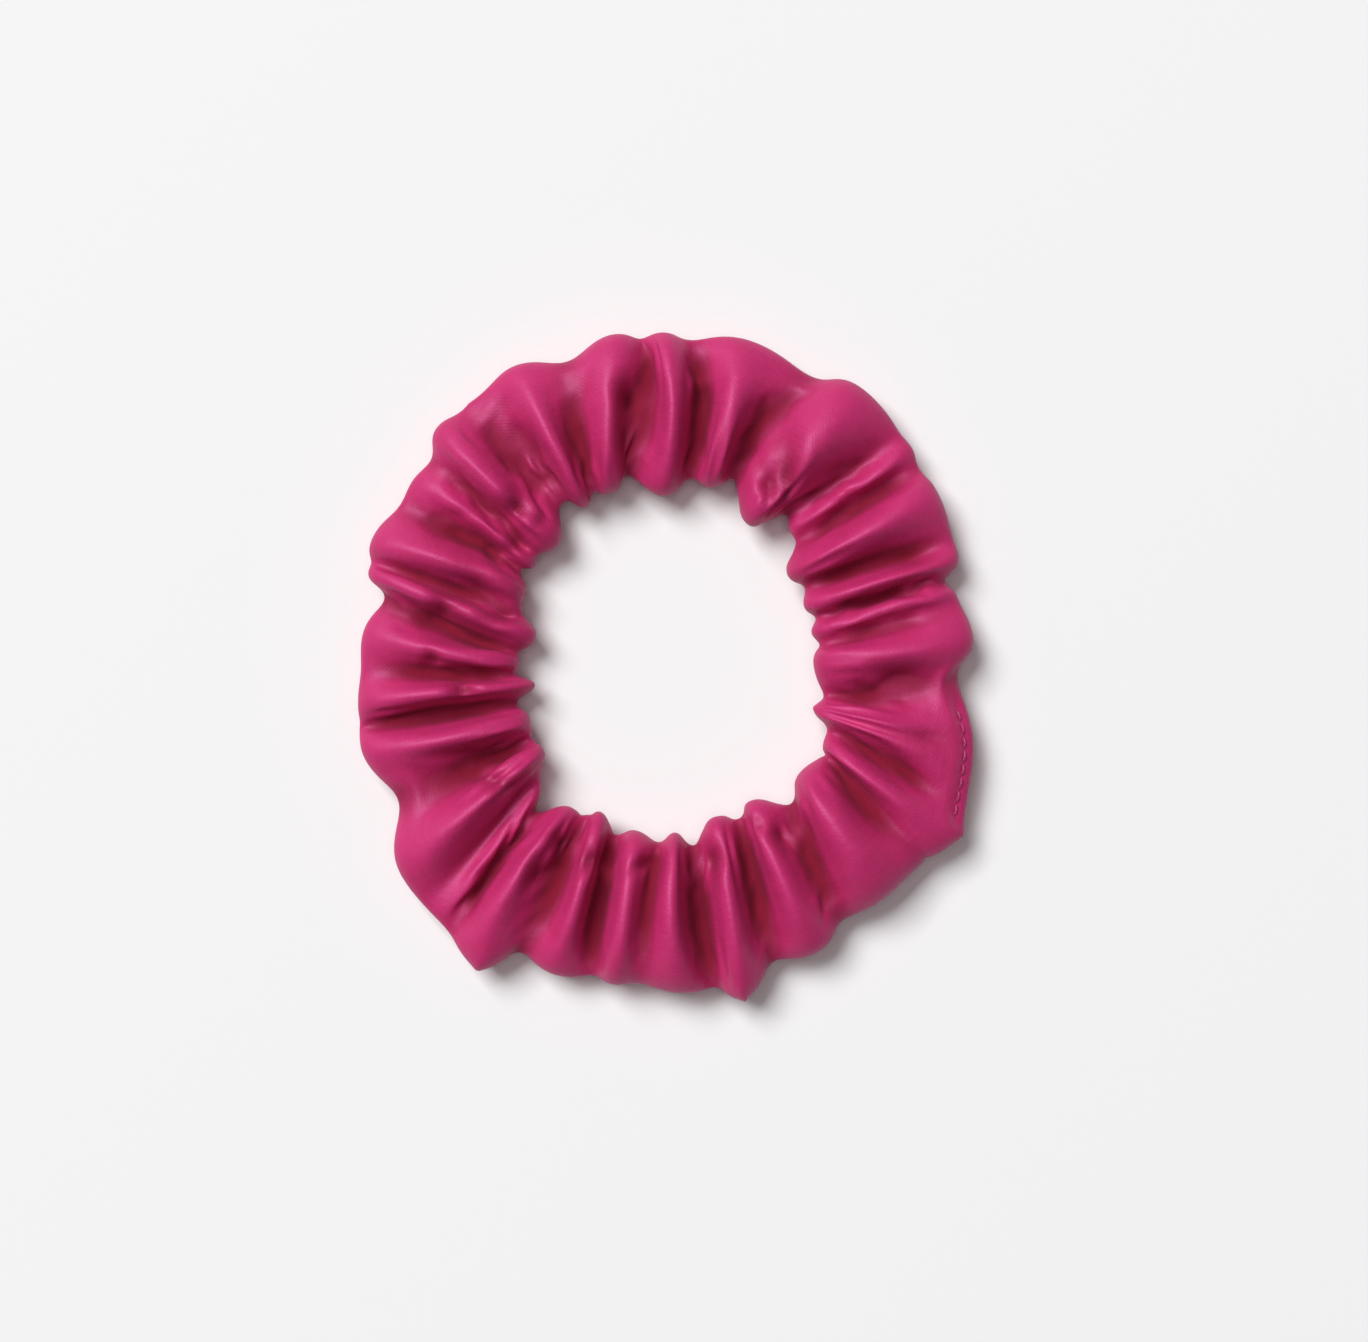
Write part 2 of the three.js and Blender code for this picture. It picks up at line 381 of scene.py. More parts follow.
def add_cloth_uv(mesh, columns, rows):
    """Places on the flat cloth, in metres, for the weave."""
    layer = mesh.uv_layers.new(name="cloth")
    along, round_step = TUBE_LENGTH * MM / columns, TUBE_ROUND * MM / rows
    corners = []
    for i in range(columns):
        for j in range(rows):
            for di, dj in ((0, 0), (1, 0), (1, 1), (0, 1)):
                corners += [(i + di) * along, (j + dj) * round_step]
    layer.data.foreach_set("uv", corners)


# ---------------------------------------------------------------- sleeve: cloth simulation

# The cloth solver works on a sleeve SIM_SCALE times its real size, on a floor that reaches SIM_FLOOR_HALF
# metres to each side. The flat tube's two faces are FACES_APART mm from its middle. It is gathered by frame
# GATHERED_BY, and then settles up to the last of FRAMES.
SIM_SCALE = 100.0
FACES_APART = 0.4
GATHERED_BY = 18
FRAMES = 30
QUALITY = 6
SIM_FLOOR_HALF = 20

# The cloth: its stiffness and damping, and the air pressure that fills it.
CLOTH_MASS = 0.15
AIR_DAMPING = 2
STRETCH_STIFFNESS = 30
SHEAR_STIFFNESS = 6
BENDING = 0.3
STRETCH_DAMPING = 10
SHEAR_DAMPING = 6
BENDING_DAMPING = 0.5
PRESSURE = 0.01
FLOOR_DISTANCE = 0.02
SELF_DISTANCE = 0.05
SELF_FRICTION = 2

# How firmly the cloth is held to the design: everywhere, and more at its inner and outer edge, each over a
# band of HOLD_BAND of the way round the tube. Blender takes a weight to the fourth power.
HOLD_REST = 0.008
HOLD_INNER = 0.06
HOLD_OUTER = 0.08
HOLD_BAND = 0.06
HOLD_STIFFNESS = 50.0
HOLD_POWER = 4

# After the simulation: smoothing along the folds and of the edges, and how much the relief is deepened
# against the cloth RELIEF_REACH columns to each side.
IRON_PASSES = 3
IRON_STRENGTHS = (0.5, -0.52)
EDGE_PASSES = 2
EDGE_NARROWNESS = 6
RELIEF = 0.45
RELIEF_REACH = 5
CORNER_NARROWNESS = 4

# Pockets: the height of the rim, the widening against what was read, how much the tail is narrower than the
# head, how steep the sides are, and the depth from which a pocket's painted shade is full. The rim runs
# RIM_AWAY times the pocket's own size from its middle.
POCKET_RIM = 0.05
POCKET_WIDENING = 1.4
POCKET_TAPER = 0.35
POCKET_STEEPNESS = 1.3
POCKET_FULL_SHADE_DEPTH = 3
RIM_AWAY = 2.2
RIM_WIDTH = 0.6

# The painted shade in creases: the columns to each side that a point is compared with, the depth in mm that
# counts as a full crease with full painted shade, and how often it is softened.
CREASE_REACH = 10
CREASE_FULL = 1.9
CREASE_SOFTENING = 3


def flat_tube():
    """The tube pressed flat and stood on edge in a ring, where every length is the uncrumpled cloth's."""
    turn = np.linspace(0, 2 * math.pi, COLUMNS, endpoint=False)[:, None]
    row = np.arange(ROWS)[None, :]
    half = ROWS // 2
    z = np.where(row <= half, half / 2 - row, row - 1.5 * half) * TUBE_ROUND / ROWS
    side = np.where((row > 0) & (row < half), -FACES_APART, np.where(row > half, FACES_APART, 0.0))
    radius = TUBE_LENGTH / (2 * math.pi) + side
    return np.stack([radius * np.cos(turn), radius * np.sin(turn), z + 0 * turn], axis=2)


def gather_flat_tube(obj, grid, scale):
    """Start the mesh as the flat tube, and gather it to the design by frame GATHERED_BY."""
    obj.data.vertices.foreach_set("co", (flat_tube() * scale).astype(np.float32).ravel())
    obj.shape_key_add(name="flat")
    gathered = obj.shape_key_add(name="gathered")
    gathered.data.foreach_set("co", (grid * scale).astype(np.float32).ravel())
    for value, number in ((0, 1), (1, GATHERED_BY)):
        gathered.value = value
        gathered.keyframe_insert("value", frame=number)


def hold_to_design(obj, grid):
    """A vertex group that holds each point of the cloth as firmly as hold_weights says."""
    group = obj.vertex_groups.new(name="hold")
    for index, weight in enumerate(hold_weights(grid).ravel()):
        group.add([index], float(weight), "REPLACE")


def add_cloth(obj):
    """Blender's Cloth with the satin's stiffness, filled with a little air."""
    cloth = obj.modifiers.new("cloth", "CLOTH")
    settings = cloth.settings
    settings.quality = QUALITY
    settings.mass = CLOTH_MASS
    settings.air_damping = AIR_DAMPING
    settings.tension_stiffness = STRETCH_STIFFNESS
    settings.compression_stiffness = STRETCH_STIFFNESS
    settings.shear_stiffness = SHEAR_STIFFNESS
    settings.bending_stiffness = BENDING
    settings.tension_damping = STRETCH_DAMPING
    settings.compression_damping = STRETCH_DAMPING
    settings.shear_damping = SHEAR_DAMPING
    settings.bending_damping = BENDING_DAMPING
    settings.vertex_group_mass = "hold"
    settings.pin_stiffness = HOLD_STIFFNESS
    settings.use_pressure = True
    settings.uniform_pressure_force = PRESSURE
    settings.effector_weights.gravity = 0
    collision = cloth.collision_settings
    collision.use_collision = True
    collision.distance_min = FLOOR_DISTANCE
    collision.use_self_collision = True
    collision.self_distance_min = SELF_DISTANCE
    collision.self_friction = SELF_FRICTION
    return cloth


def run_frames(cloth):
    """Step the simulation through all its frames."""
    scene = bpy.context.scene
    scene.frame_start = 1
    scene.frame_end = FRAMES
    cloth.point_cache.frame_start = 1
    cloth.point_cache.frame_end = FRAMES
    for number in range(1, FRAMES + 1):
        scene.frame_set(number)


def simulate(grid):
    """The design as settled cloth. The simulated object and its floor are removed again."""
    scale = MM * SIM_SCALE
    obj = grid_mesh("cloth", grid)
    gather_flat_tube(obj, grid, scale)
    hold_to_design(obj, grid)
    cloth = add_cloth(obj)
    ground = square("sim_floor", SIM_FLOOR_HALF)
    ground.modifiers.new("collision", "COLLISION")
    run_frames(cloth)
    settled = obj.evaluated_get(bpy.context.evaluated_depsgraph_get())
    places = np.empty(len(obj.data.vertices) * 3, np.float32)
    settled.data.vertices.foreach_get("co", places)
    bpy.data.objects.remove(obj)
    bpy.data.objects.remove(ground)
    bpy.context.scene.frame_set(1)
    return places.reshape(grid.shape) / scale


def hold_weights(grid):
    """How firmly each point is held to the design: the inner edge by the elastic, the rest loosely."""
    row = np.arange(ROWS)[None, :] / ROWS
    inner = np.exp(-(((row - 0.5) / HOLD_BAND) ** 2))
    outer = np.exp(-((np.minimum(row, 1 - row) / HOLD_BAND) ** 2))
    hold = HOLD_REST + HOLD_INNER * inner + HOLD_OUTER * outer
    return hold ** (1 / HOLD_POWER) + 0 * grid[:, :, 0]


def iron(grid):
    """Smooth the sleeve along its folds, without shrinking it, so that only the ragged crimps go."""
    for _ in range(IRON_PASSES):
        for strength in IRON_STRENGTHS:
            between = (np.roll(grid, 1, axis=1) + np.roll(grid, -1, axis=1)) / 2
            grid += (between - grid) * strength


def trim_edges(grid):
    """Smooth the inner and outer edge along the ring, where the finest crimps would look frayed."""
    edge = np.abs(np.cos(2 * math.pi * np.arange(grid.shape[1]) / grid.shape[1])) ** EDGE_NARROWNESS
    for _ in range(EDGE_PASSES):
        between = (np.roll(grid, 1, axis=0) + np.roll(grid, -1, axis=0)) / 2
        grid += (between - grid) * 0.5 * edge[None, :, None]


def push_corners(grid):
    """Pull the corners of the outline out to their points."""
    angle = np.degrees(np.arctan2(grid[:, :, 1], grid[:, :, 0])) % 360
    radius = np.hypot(grid[:, :, 0], grid[:, :, 1])
    row = np.arange(grid.shape[1]) * 2 * math.pi / grid.shape[1]
    outer = np.clip(np.cos(row), 0, 1) ** CORNER_NARROWNESS
    for place, out, half_width in CORNERS:
        away = np.abs((angle - place + 180) % 360 - 180) / half_width
        scale = 1 + out * np.exp(-away) * outer[None, :] / radius
        grid[:, :, 0] *= scale
        grid[:, :, 1] *= scale


def deepen(grid):
    """Raise the ridges of the top and sink its creases, against the height nearby."""
    half = ROWS // 2
    fade = np.sin(math.pi * np.arange(half) / half)
    z = grid[:, :half, 2]
    near = range(-RELIEF_REACH, RELIEF_REACH + 1)
    weights = [math.cos(math.pi * k / (2 * RELIEF_REACH + 2)) for k in near]
    level = sum(w * np.roll(z, k, axis=0) for w, k in zip(weights, near)) / sum(weights)
    grid[:, :half, 2] = z + RELIEF * (z - level) * fade


def refined(grid):
    """The same sleeve with twice the columns and rows, the new points on smooth curves through the old."""
    for axis in (0, 1):
        near = grid + np.roll(grid, -1, axis=axis)
        far = np.roll(grid, 1, axis=axis) + np.roll(grid, -2, axis=axis)
        between = (9 * near - far) / 16
        pairs = np.stack([grid, between], axis=axis + 1)
        grid = pairs.reshape([2 * size if k == axis else size for k, size in enumerate(grid.shape)])
    return grid


def pocket_shares(grid):
    """For each pocket, its depth, and how far each point of the sleeve's top lies in it and on its rim.
    A pocket is a teardrop: round at its head, the way it runs in, and drawn out behind."""
    half = grid.shape[1] // 2
    fade = np.sin(math.pi * np.arange(half) / half) ** 0.5
    for angle, radius, direction, long, wide, depth in POCKETS:
        angle, direction = math.radians(angle), math.radians(direction)
        dx = grid[:, :half, 0] - radius * math.cos(angle)
        dy = grid[:, :half, 1] - radius * math.sin(angle)
        along = (dx * math.cos(direction) + dy * math.sin(direction)) / long
        across = (dy * math.cos(direction) - dx * math.sin(direction)) / (wide * POCKET_WIDENING)
        across /= 1 + POCKET_TAPER * np.tanh(along)
        away = np.sqrt(along**2 + across**2)
        inside = fade * np.exp(-(away**POCKET_STEEPNESS))
        rim = fade * np.exp(-(((away - RIM_AWAY) / RIM_WIDTH) ** 2))
        yield depth, inside, rim


def press_pockets(grid):
    """Push the pockets down into the top of the sleeve, and give back how far each point lies in one, the
    mask of the painted shade in its hollow.
    """
    half = grid.shape[1] // 2
    painted_shade = np.zeros(grid.shape[:2])
    drop = np.zeros((grid.shape[0], half))
    for depth, inside, rim in pocket_shares(grid):
        drop += depth * (POCKET_RIM * rim - inside)
        # A pocket's painted shade grows with its depth.
        painted_shade[:, :half] = np.maximum(painted_shade[:, :half], inside * min(1, depth / POCKET_FULL_SHADE_DEPTH))
    grid[:, :half, 2] += drop
    return painted_shade


def clear_elastic(grid):
    """Keep the top of the sleeve above the elastic, and its underside below."""
    r = np.hypot(grid[:, :, 0], grid[:, :, 1])
    angle = np.degrees(np.arctan2(grid[:, :, 1], grid[:, :, 0])) % 360
    lapped = smooth_step(LAP_RISE_FROM, LAP_RISE_TO, angle) * (angle < ELASTIC_TO + LAP_MARGIN)
    over = np.abs(r - ELASTIC_RADIUS) < ELASTIC_WIDTH / 2 + ELASTIC_SIDE_CLEARANCE
    room = ELASTIC_THICKNESS / 2 + ELASTIC_CLEARANCE
    least = ELASTIC_HEIGHT + room + (ELASTIC_LAP_STEP + 2 * THREAD_RADIUS) * lapped
    half = grid.shape[1] // 2
    upper, lower = grid[:, :half, 2], grid[:, half:, 2]
    upper[:] = np.where(over[:, :half], np.maximum(upper, least[:, :half]), upper)
    lower[:] = np.where(over[:, half:], np.minimum(lower, ELASTIC_HEIGHT - room), lower)


def make_sleeve():
    """The gathered sleeve, and the grid of its outside for the seams."""
    start = sleeve_start()
    grid = simulate(start)
    iron(grid)
    deepen(grid)
    trim_edges(grid)
    grid = refined(grid)
    push_corners(grid)
    pocket_painted_shade = press_pockets(grid)
    press_cross_seam(grid)
    press_closing(grid)
    clear_elastic(grid)
    obj = grid_mesh("sleeve", grid)
    # The crease attribute masks painted shade in the creases and pockets of the satin, and dulls its gloss
    # there.
    crease = obj.data.attributes.new("crease", "FLOAT", "POINT")
    crease.data.foreach_set("value", np.maximum(crease_depth(grid), pocket_painted_shade).astype(np.float32).ravel())
    wall = obj.modifiers.new("wall", "SOLIDIFY")
    wall.thickness = WALL * MM
    wall.offset = -1
    return obj, grid


# ---------------------------------------------------------------- elastic and threads


def swept_mesh(name, rings, closed):
    """A mesh over rings of points in mm, joined end to end if closed, else capped."""
    rings = np.asarray(rings)
    count, sides = rings.shape[:2]
    faces = []
    for i in range(count if closed else count - 1):
        for j in range(sides):
            k, m = (i + 1) % count, (j + 1) % sides
            faces.append((i * sides + j, k * sides + j, k * sides + m, i * sides + m))
    if not closed:
        faces.append(tuple(range(sides)))
        faces.append(tuple(range(count * sides - 1, (count - 1) * sides - 1, -1)))
    mesh = bpy.data.meshes.new(name)
    mesh.from_pydata((rings.reshape(-1, 3) * MM).tolist(), [], faces)
    return smooth_object(name, mesh)


def thread_rings(path, closed):
    """Rings of a round thread along a path in mm."""
    path = np.asarray(path, dtype=float)
    if closed:
        ahead = np.roll(path, -1, axis=0) - np.roll(path, 1, axis=0)
    else:
        ahead = np.gradient(path, axis=0)
    ahead /= np.linalg.norm(ahead, axis=1)[:, None]
    beside = np.cross(ahead, NEARLY_UP)
    beside /= np.linalg.norm(beside, axis=1)[:, None]
    above = np.cross(beside, ahead)
    turns = 2 * math.pi * np.arange(THREAD_SIDES) / THREAD_SIDES
    return [
        [p + THREAD_RADIUS * (math.cos(t) * b + math.sin(t) * a) for t in turns]
        for p, b, a in zip(path, beside, above)
    ]


def joined(name, objects):
    """Several meshes as one object."""
    with bpy.context.temp_override(active_object=objects[0], selected_editable_objects=objects):
        bpy.ops.object.join()
    objects[0].name = name
    return objects[0]


def smooth_step(low, high, value):
    """0 up to low, 1 from high, and a smooth rise between."""
    share = np.clip((value - low) / (high - low), 0, 1)
    return share * share * (3 - 2 * share)


def elastic_height(angle):
    """Height of the elastic's middle at an angle in degrees: its far end climbs on to its near end."""
    return ELASTIC_HEIGHT + ELASTIC_LAP_STEP * smooth_step(LAP_RISE_FROM, LAP_RISE_TO, angle)


def make_elastic():
    """A flat braid of elastic with ribs along it, its two ends lapped."""
    edge = 2 * math.pi * np.arange(ELASTIC_SIDES) / ELASTIC_SIDES
    across = np.sign(np.cos(edge)) * np.abs(np.cos(edge)) ** ELASTIC_ROUNDNESS * ELASTIC_WIDTH / 2
    rib = 1 - RIB_DEPTH * np.cos(across * 2 * math.pi * ELASTIC_RIBS / ELASTIC_WIDTH)
    up = np.sign(np.sin(edge)) * np.abs(np.sin(edge)) ** ELASTIC_ROUNDNESS * rib * ELASTIC_THICKNESS / 2
    rings = []
    for degrees in np.linspace(ELASTIC_FROM, ELASTIC_TO, ELASTIC_STEPS):
        angle = math.radians(degrees)
        r = ELASTIC_RADIUS + across
        z = elastic_height(degrees) + up
        rings.append(np.stack([r * math.cos(angle), r * math.sin(angle), z], axis=1))
    return swept_mesh("elastic_loop", rings, closed=False)


def make_elastic_join():
    """The zigzag that tacks the elastic's lapped ends together, over the top of the lap."""
    corners = []
    first, last = ELASTIC_FROM + 360 + JOIN_MARGIN, ELASTIC_TO - JOIN_MARGIN
    top = ELASTIC_HEIGHT + ELASTIC_LAP_STEP + ELASTIC_THICKNESS / 2 + THREAD_RADIUS
    for i in range(2 * JOIN_ZIGZAGS + 1):
        angle = math.radians(first + (last - first) * i / (2 * JOIN_ZIGZAGS))
        r = ELASTIC_RADIUS + (ELASTIC_WIDTH / 2 - JOIN_INSET) * (1 if i % 2 else -1)
        corners.append((r * math.cos(angle), r * math.sin(angle), top))
    fine = np.linspace(0, len(corners) - 1, POINTS_PER_ZIGZAG * len(corners))
    path = np.stack([np.interp(fine, np.arange(len(corners)), values) for values in zip(*corners)], axis=1)
    return swept_mesh("elastic_join_stitches", thread_rings(path, closed=False), closed=False)


def along_ring(ring, places):
    """The points at these places along a closed line: 3.25 is a quarter of the way from point 3 to 4."""
    number = np.arange(len(ring) + 1)
    return np.stack([np.interp(places, number, np.append(values, values[0])) for values in ring.T], axis=1)


def make_long_seam(grid):
    """The seam thread inside the sleeve along its outer edge, dipping once a stitch."""
    path = (grid[:, LONG_SEAM_ROW] + grid[:, -LONG_SEAM_ROW]) / 2
    path = (np.roll(path, 1, axis=0) + path + np.roll(path, -1, axis=0)) / 3
    stitches = round(TUBE_LENGTH / STITCH_LENGTH)
    steps = np.arange(stitches * POINTS_PER_STITCH)
    fine = along_ring(path, steps * len(path) / len(steps))
    fine[:, 2] += LONG_SEAM_DIP * np.sin(2 * math.pi * steps / POINTS_PER_STITCH)
    return swept_mesh("long_seam_thread", thread_rings(fine, closed=True), closed=True)


def inward(grid):
    """Directions into the sleeve from each of its points."""
    along = np.roll(grid, -1, axis=0) - np.roll(grid, 1, axis=0)
    around = np.roll(grid, -1, axis=1) - np.roll(grid, 1, axis=1)
    normal = np.cross(along, around)
    normal /= np.linalg.norm(normal, axis=2)[:, :, None]
    centre = grid.mean(axis=1, keepdims=True)
    outwards = np.sum(normal * (grid - centre)) > 0
    return -normal if outwards else normal


def crease_depth(grid):
    """How far each point lies down in a crease, from 0 to 1, against the cloth round it: the mask of the
    painted shade in creases.
    """
    near = range(-CREASE_REACH, CREASE_REACH + 1)
    level = sum(np.roll(grid, k, axis=0) for k in near) / len(near)
    sunk = np.sum((grid - level) * inward(level), axis=2)
    for _ in range(CREASE_SOFTENING):
        sunk = (np.roll(sunk, 1, axis=0) + 2 * sunk + np.roll(sunk, -1, axis=0)) / 4
        sunk = (np.roll(sunk, 1, axis=1) + 2 * sunk + np.roll(sunk, -1, axis=1)) / 4
    return smooth_step(0.0, CREASE_FULL, sunk)


def seam_column(grid):
    """The column that the cross seam runs along."""
    crown = grid[:, grid.shape[1] // 4]
    angle = np.degrees(np.arctan2(crown[:, 1], crown[:, 0])) % 360
    return int(np.argmin(np.abs(angle - CROSS_SEAM_ANGLE)))


def make_cross_seam(grid):
    """The ring of thread inside the sleeve that joins the two ends of its strip."""
    column = seam_column(grid)
    ring = grid[column] + inward(grid)[column] * (SEAM_DEPTH + SEAM_THREAD_UNDER)
    fine = along_ring(ring, np.arange(POINTS_PER_ROW * len(ring)) / POINTS_PER_ROW)
    return swept_mesh("cross_seam_thread", thread_rings(fine, closed=True), closed=True)


def press_cross_seam(grid):
    """The cross seam pulls its column of the sleeve in, and the columns beside it less."""
    column = seam_column(grid)
    into = inward(grid)
    for offset, share in SEAM_PULL:
        k = (column + offset) % len(grid)
        grid[k] += into[k] * SEAM_DEPTH * share


def closing_share(grid):
    """How far each column belongs to the stretch of outer edge that is topstitched shut."""
    angle = np.degrees(np.arctan2(grid[:, 0, 1], grid[:, 0, 0])) % 360
    begun = smooth_step(CLOSING_FROM - CLOSING_FADE, CLOSING_FROM, angle)
    return begun * (1 - smooth_step(CLOSING_TO, CLOSING_TO + CLOSING_FADE, angle))


def press_closing(grid):
    """The closing topstitch presses a groove into both faces of the outer edge."""
    share = closing_share(grid)[:, None]
    into = inward(grid)
    for side in (1, -1):
        for offset, depth in GROOVE:
            row = side * (CLOSING_ROW + offset)
            grid[:, row] += into[:, row] * depth * share


def make_closing_stitches(grid):
    """The topstitches, one by one, in the grooves on both faces of the outer edge."""
    chosen = np.flatnonzero(closing_share(grid) > FULLY_CLOSED)
    into = inward(grid)
    stitches = []
    for row in (CLOSING_ROW, -CLOSING_ROW):
        line, out = grid[chosen, row], -into[chosen, row]
        length = np.concatenate([[0], np.cumsum(np.linalg.norm(np.diff(line, axis=0), axis=1))])
        for k in range(int(length[-1] / STITCH_LENGTH)):
            share = np.linspace(0, 1, POINTS_PER_TOPSTITCH)
            at = (k + STITCH_HOLE + (1 - 2 * STITCH_HOLE) * share) * STITCH_LENGTH
            path = np.stack([np.interp(at, length, line[:, c]) for c in range(3)], axis=1)
            away = np.stack([np.interp(at, length, out[:, c]) for c in range(3)], axis=1)
            path += away * (STITCH_LIFT * np.sin(math.pi * share) ** 0.5 - STITCH_SUNK)[:, None]
            stitches.append(swept_mesh("stitch", thread_rings(path, closed=False), closed=False))
    return joined("closing_topstitch_thread", stitches)


# ---------------------------------------------------------------- materials


# Colours are linear. In a full crease the colour is multiplied by a painted shade, and SATIN_GLOSS tints the
# gloss.
# Roughness is given from the glossiest yarn to the dullest.
WHITE = (1, 1, 1, 1)
SATIN_LIGHT = (0.60, 0.030, 0.165, 1)
SATIN_DARK = (0.50, 0.020, 0.122, 1)
CREASE_PAINTED_SHADE = (0.38, 0.20, 0.15, 1)
SATIN_GLOSS = (1.0, 0.5, 0.9, 1)
SATIN_ROUGHNESS = (0.44, 0.60)
SATIN_SPECULAR = 0.65
SHEEN = 0.05
SHEEN_ROUGHNESS = 0.4
SHEEN_TINT = (1.0, 0.45, 0.7, 1)
YARN_DARK = (0.86, 0.86, 0.86, 1)
YARN_LIGHT = (1.12, 1.12, 1.12, 1)
YARNS_PER_METRE = (160, 2600, 1)
BRAID_ROUGHNESS = 0.85
THREAD_ROUGHNESS = 0.45
FLOOR_COLOUR = (0.9, 0.9, 0.9, 1)
FLOOR_ROUGHNESS = 0.9
BRAID_LIGHT = (0.80, 0.76, 0.70, 1)
BRAID_DARK = (0.60, 0.56, 0.50, 1)
THREAD_LIGHT = (0.50, 0.05, 0.19, 1)
THREAD_DARK = (0.30, 0.02, 0.09, 1)

# Fine relief by shading only: how deep it is, in metres, and how much of it is used.
CRINKLE = (0.5 * MM, 0.4)
SLUBS = (0.05 * MM, 0.5)
WEAVE = (0.02 * MM, 0.4)
FUZZ = (0.1 * MM, 0.6)
PLY = (0.05 * MM, 0.5)


def principled(name):
    """A new material, and its Principled shader."""
    material = bpy.data.materials.new(name)
    material.use_nodes = True
    return material, material.node_tree.nodes["Principled BSDF"]


def add_node(tree, kind, **inputs):
    """A new node with these input values. Keys are input names with _ for a space."""
    node = tree.nodes.new(kind)
    for name, value in inputs.items():
        node.inputs[name.replace("_", " ")].default_value = value
    return node


def mixed_colour(tree, factor, low, high):
    """A colour between low and high by a factor socket."""
    mix = tree.nodes.new("ShaderNodeMix")
    mix.data_type = "RGBA"
    tree.links.new(factor, mix.inputs["Factor"])
    mix.inputs["A"].default_value = low
    mix.inputs["B"].default_value = high
    return mix.outputs["Result"]


def multiplied(tree, colour, by):
    """The product of two colour sockets."""
    mix = tree.nodes.new("ShaderNodeMix")
    mix.data_type = "RGBA"
    mix.blend_type = "MULTIPLY"
    mix.inputs["Factor"].default_value = 1.0
    tree.links.new(colour, mix.inputs["A"])
    tree.links.new(by, mix.inputs["B"])
    return mix.outputs["Result"]


def larger(tree, value, other):
    """The larger of two value sockets."""
    node = tree.nodes.new("ShaderNodeMath")
    node.operation = "MAXIMUM"
    tree.links.new(value, node.inputs[0])
    tree.links.new(other, node.inputs[1])
    return node.outputs["Value"]


def scaled_value(tree, value, low, high):
    """A value socket from 0..1 stretched to low..high."""
    node = tree.nodes.new("ShaderNodeMapRange")
    tree.links.new(value, node.inputs["Value"])
    node.inputs["To Min"].default_value = low
    node.inputs["To Max"].default_value = high
    return node.outputs["Result"]


def bump(tree, height, relief, under=None):
    """Normals bumped by a height socket to a relief's depth and strength, on top of the normals under it."""
    node = tree.nodes.new("ShaderNodeBump")
    node.inputs["Distance"].default_value, node.inputs["Strength"].default_value = relief
    tree.links.new(height, node.inputs["Height"])
    if under:
        tree.links.new(under, node.inputs["Normal"])
    return node.outputs["Normal"]


def satin():
    """Magenta satin: fine yarn with a soft broad gloss, faintly mottled, with painted shade and a duller
    gloss in its creases and pockets.
    """
    material, shader = principled("satin")
    tree = material.node_tree
    cloth = tree.nodes.new("ShaderNodeUVMap")
    cloth.uv_map = "cloth"
    where = tree.nodes.new("ShaderNodeTexCoord").outputs["Object"]
    mottle = add_node(tree, "ShaderNodeTexNoise", Scale=260.0, Detail=5.0, Roughness=0.65)
    tree.links.new(where, mottle.inputs["Vector"])
    stretch = tree.nodes.new("ShaderNodeMapping")
    stretch.inputs["Scale"].default_value = YARNS_PER_METRE
    tree.links.new(cloth.outputs["UV"], stretch.inputs["Vector"])
    yarn = add_node(tree, "ShaderNodeTexNoise", Scale=1.0, Detail=3.0, Roughness=0.7)
    tree.links.new(stretch.outputs["Vector"], yarn.inputs["Vector"])
    weave = add_node(tree, "ShaderNodeTexWave", Scale=900.0, Distortion=1.5, Detail=1.0)
    weave.bands_direction = "DIAGONAL"
    tree.links.new(cloth.outputs["UV"], weave.inputs["Vector"])
    tone = mixed_colour(tree, mottle.outputs["Fac"], SATIN_DARK, SATIN_LIGHT)
    yarn_tone = mixed_colour(tree, yarn.outputs["Fac"], YARN_DARK, YARN_LIGHT)
    crease = tree.nodes.new("ShaderNodeAttribute")
    crease.attribute_name = "crease"
    # Painted shade: in creases and pockets the colour is multiplied down towards a dark red, by the crease
    # attribute.
    painted_shade = mixed_colour(tree, crease.outputs["Fac"], WHITE, CREASE_PAINTED_SHADE)
    tree.links.new(multiplied(tree, multiplied(tree, tone, yarn_tone), painted_shade), shader.inputs["Base Color"])
    gloss = scaled_value(tree, yarn.outputs["Fac"], *SATIN_ROUGHNESS)
    tree.links.new(larger(tree, gloss, crease.outputs["Fac"]), shader.inputs["Roughness"])
    crinkle = bump(tree, mottle.outputs["Fac"], CRINKLE)
    slubs = bump(tree, yarn.outputs["Fac"], SLUBS, under=crinkle)
    tree.links.new(bump(tree, weave.outputs["Fac"], WEAVE, under=slubs), shader.inputs["Normal"])
    shader.inputs["Specular IOR Level"].default_value = SATIN_SPECULAR
    shader.inputs["Specular Tint"].default_value = SATIN_GLOSS
    shader.inputs["Sheen Weight"].default_value = SHEEN
    shader.inputs["Sheen Roughness"].default_value = SHEEN_ROUGHNESS
    shader.inputs["Sheen Tint"].default_value = SHEEN_TINT
    return material


def braid():
    """Off-white elastic: matt soft yarn."""
    material, shader = principled("elastic")
    tree = material.node_tree
    where = tree.nodes.new("ShaderNodeTexCoord").outputs["Object"]
    fuzz = add_node(tree, "ShaderNodeTexNoise", Scale=2500.0, Detail=3.0)
    tree.links.new(where, fuzz.inputs["Vector"])
    tone = mixed_colour(tree, fuzz.outputs["Fac"], BRAID_DARK, BRAID_LIGHT)
    tree.links.new(tone, shader.inputs["Base Color"])
    tree.links.new(bump(tree, fuzz.outputs["Fac"], FUZZ), shader.inputs["Normal"])
    shader.inputs["Roughness"].default_value = BRAID_ROUGHNESS
    return material


